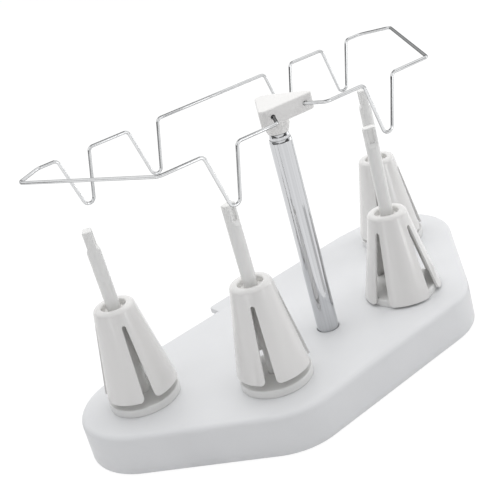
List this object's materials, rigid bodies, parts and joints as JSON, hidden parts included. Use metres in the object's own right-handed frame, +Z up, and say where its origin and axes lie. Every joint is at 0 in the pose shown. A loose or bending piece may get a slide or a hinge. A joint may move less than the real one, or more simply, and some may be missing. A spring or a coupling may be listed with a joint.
{
  "type": "thread spool stand",
  "caption": "Tabletop stand for thread spools: a flat base with pins and split cone holders, and a telescopic pole that carries a looped wire thread guide.",
  "frame": {"origin": "on the pole's axis, on the underside of the base's bottom plate", "axes": "+X along the base's long straight back edge, +Y from the front edge to the back edge, +Z up the pole"},
  "size_m": [0.3058, 0.1549, 0.177],
  "materials": {
    "white_satin_plastic": "satin",
    "white_gloss_plastic": "gloss",
    "grey_matt_plastic": "matte",
    "black_acetal_plastic": "satin",
    "grey_rubber": "matte",
    "polished_chrome": "polished",
    "zinc_plated_steel": "satin"
  },
  "bodies": {
    "base": {"base_cover": "white_satin_plastic", "base_bottom_plate": "grey_matt_plastic", "rubber_foot_1": "grey_rubber", "rubber_foot_2": "grey_rubber", "rubber_foot_3": "grey_rubber", "rubber_foot_4": "grey_rubber", "cover_screw_1": "zinc_plated_steel", "cover_screw_2": "zinc_plated_steel", "cover_screw_3": "zinc_plated_steel", "cover_screw_4": "zinc_plated_steel", "cover_screw_5": "zinc_plated_steel", "cover_screw_6": "zinc_plated_steel", "pole_outer_tube": "polished_chrome", "pole_plug": "white_satin_plastic", "pole_screw": "zinc_plated_steel", "spool_disc_1": "white_gloss_plastic", "spool_pin_1": "white_gloss_plastic", "pin_screw_1": "zinc_plated_steel", "spool_disc_2": "white_gloss_plastic", "spool_pin_2": "white_gloss_plastic", "pin_screw_2": "zinc_plated_steel", "spool_disc_3": "white_gloss_plastic", "spool_pin_3": "white_gloss_plastic", "pin_screw_3": "zinc_plated_steel", "spool_disc_4": "white_gloss_plastic", "spool_pin_4": "white_gloss_plastic", "pin_screw_4": "zinc_plated_steel"},
    "middle_tube": {"pole_middle_tube": "polished_chrome", "middle_tube_bush": "black_acetal_plastic"},
    "inner_tube": {"pole_inner_tube": "polished_chrome", "inner_tube_bush": "black_acetal_plastic"},
    "guide": {"guide_holder": "white_satin_plastic", "thread_guide_wire": "polished_chrome"},
    "cone_1": {"cone_holder_1": "white_gloss_plastic"},
    "cone_2": {"cone_holder_2": "white_gloss_plastic"},
    "cone_3": {"cone_holder_3": "white_gloss_plastic"},
    "cone_4": {"cone_holder_4": "white_gloss_plastic"}
  },
  "joints": [
    {"name": "middle_slide", "type": "slide", "parent": "base", "child": "middle_tube", "axis": [0, 0, 1], "range_m": [0, 0.1]},
    {"name": "inner_slide", "type": "slide", "parent": "middle_tube", "child": "inner_tube", "axis": [0, 0, 1], "range_m": [0, 0.09]},
    {"name": "guide_swivel", "type": "hinge", "parent": "inner_tube", "child": "guide", "pos_m": [0, 0, 0.16], "axis": [0, 0, 1], "continuous": true},
    {"name": "cone_1_slide", "type": "slide", "parent": "base", "child": "cone_1", "axis": [0, 0, 1], "range_m": [-0.0037, 0.045]},
    {"name": "cone_2_slide", "type": "slide", "parent": "base", "child": "cone_2", "axis": [0, 0, 1], "range_m": [-0.0037, 0.045]},
    {"name": "cone_3_slide", "type": "slide", "parent": "base", "child": "cone_3", "axis": [0, 0, 1], "range_m": [0, 0.052]},
    {"name": "cone_4_slide", "type": "slide", "parent": "base", "child": "cone_4", "axis": [0, 0, 1], "range_m": [-0.0021, 0.0465]}
  ]
}
